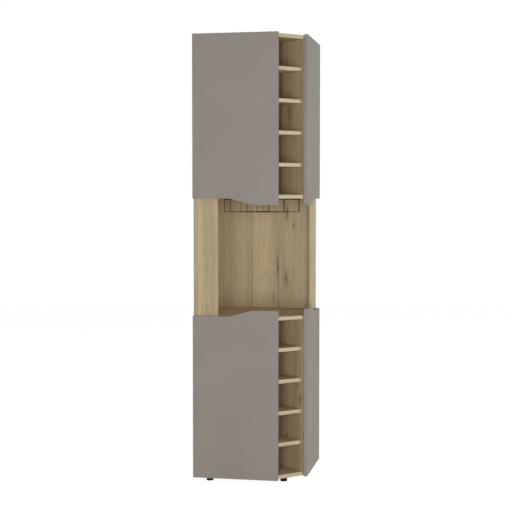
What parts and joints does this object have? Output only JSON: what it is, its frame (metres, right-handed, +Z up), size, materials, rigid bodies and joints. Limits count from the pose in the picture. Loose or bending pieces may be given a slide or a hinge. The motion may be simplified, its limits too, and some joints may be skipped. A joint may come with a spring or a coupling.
{
  "type": "corner bar cabinet",
  "caption": "Tall corner bar cabinet with a cut front corner: bottle niches, cupboards behind hinged doors, an open bar bay and a hanging stemware rack.",
  "frame": {"origin": "centre of the square plan's bounding box at floor level", "axes": "+Z up; +X to the right along the left doors' face; +Y to the back; the cut corner faces +X -Y and the wall sides are -X and +Y"},
  "size_m": [0.486, 0.486, 1.936],
  "materials": {
    "oak_board": "light oak decor, satin",
    "oak_hardboard": "light oak decor, matt",
    "taupe_door": "taupe matt foil on board",
    "nickel_steel": "nickel plated",
    "zinc_steel": "zinc plated",
    "black_wire": "matt black powder",
    "black_plastic": "moulded",
    "clear_rubber": "soft clear"
  },
  "bodies": {
    "carcass": {"left_outer_panel": "oak_board", "rear_outer_panel": "oak_board", "bottom_board": "oak_board", "counter_board": "oak_board", "bay_ceiling_board": "oak_board", "top_board": "oak_board", "lower_shelf": "oak_board", "upper_shelf": "oak_board", "bay_left_stile": "oak_board", "bay_right_stile": "oak_board", "bay_corner_batten": "oak_board", "lower_left_rack_upright": "oak_board", "lower_right_rack_upright": "oak_board", "upper_left_rack_upright": "oak_board", "upper_right_rack_upright": "oak_board", "lower_niche_shelf_1": "oak_board", "lower_niche_shelf_2": "oak_board", "lower_niche_shelf_3": "oak_board", "lower_niche_shelf_4": "oak_board", "upper_niche_shelf_1": "oak_board", "upper_niche_shelf_2": "oak_board", "upper_niche_shelf_3": "oak_board", "upper_niche_shelf_4": "oak_board", "lower_rack_back": "oak_hardboard", "upper_rack_back": "oak_hardboard", "lower_left_hinge_arms": "nickel_steel", "lower_left_hinge_plates": "nickel_steel", "lower_right_hinge_arms": "nickel_steel", "lower_right_hinge_plates": "nickel_steel", "upper_left_hinge_arms": "nickel_steel", "upper_left_hinge_plates": "nickel_steel", "upper_right_hinge_arms": "nickel_steel", "upper_right_hinge_plates": "nickel_steel", "carcass_screws": "zinc_steel", "hinge_plate_screws": "zinc_steel", "shelf_pins": "zinc_steel", "foot_screws": "zinc_steel", "glass_rack_screws": "black_wire", "door_bumpers": "clear_rubber", "glass_rail_1": "black_wire", "glass_rail_2": "black_wire", "glass_rail_3": "black_wire", "glass_rack_bars": "black_wire", "foot_left": "black_plastic", "foot_right": "black_plastic", "foot_corner": "black_plastic", "foot_back": "black_plastic"},
    "lower_left_leaf": {"lower_left_door": "taupe_door", "lower_left_hinge_cups": "nickel_steel", "lower_left_cup_screws": "zinc_steel"},
    "lower_right_leaf": {"lower_right_door": "taupe_door", "lower_right_hinge_cups": "nickel_steel", "lower_right_cup_screws": "zinc_steel"},
    "upper_left_leaf": {"upper_left_door": "taupe_door", "upper_left_hinge_cups": "nickel_steel", "upper_left_cup_screws": "zinc_steel"},
    "upper_right_leaf": {"upper_right_door": "taupe_door", "upper_right_hinge_cups": "nickel_steel", "upper_right_cup_screws": "zinc_steel"}
  },
  "joints": [
    {"name": "lower_left_door_swing", "type": "hinge", "parent": "carcass", "child": "lower_left_leaf", "pos_m": [-0.237, -0.243, 0.383], "axis": [0, 0, -1], "range_deg": [0, 105]},
    {"name": "lower_right_door_swing", "type": "hinge", "parent": "carcass", "child": "lower_right_leaf", "pos_m": [0.243, 0.237, 0.383], "axis": [0, 0, 1], "range_deg": [0, 105]},
    {"name": "upper_left_door_swing", "type": "hinge", "parent": "carcass", "child": "upper_left_leaf", "pos_m": [-0.237, -0.243, 1.569], "axis": [0, 0, -1], "range_deg": [0, 105]},
    {"name": "upper_right_door_swing", "type": "hinge", "parent": "carcass", "child": "upper_right_leaf", "pos_m": [0.243, 0.237, 1.569], "axis": [0, 0, 1], "range_deg": [0, 105]}
  ]
}
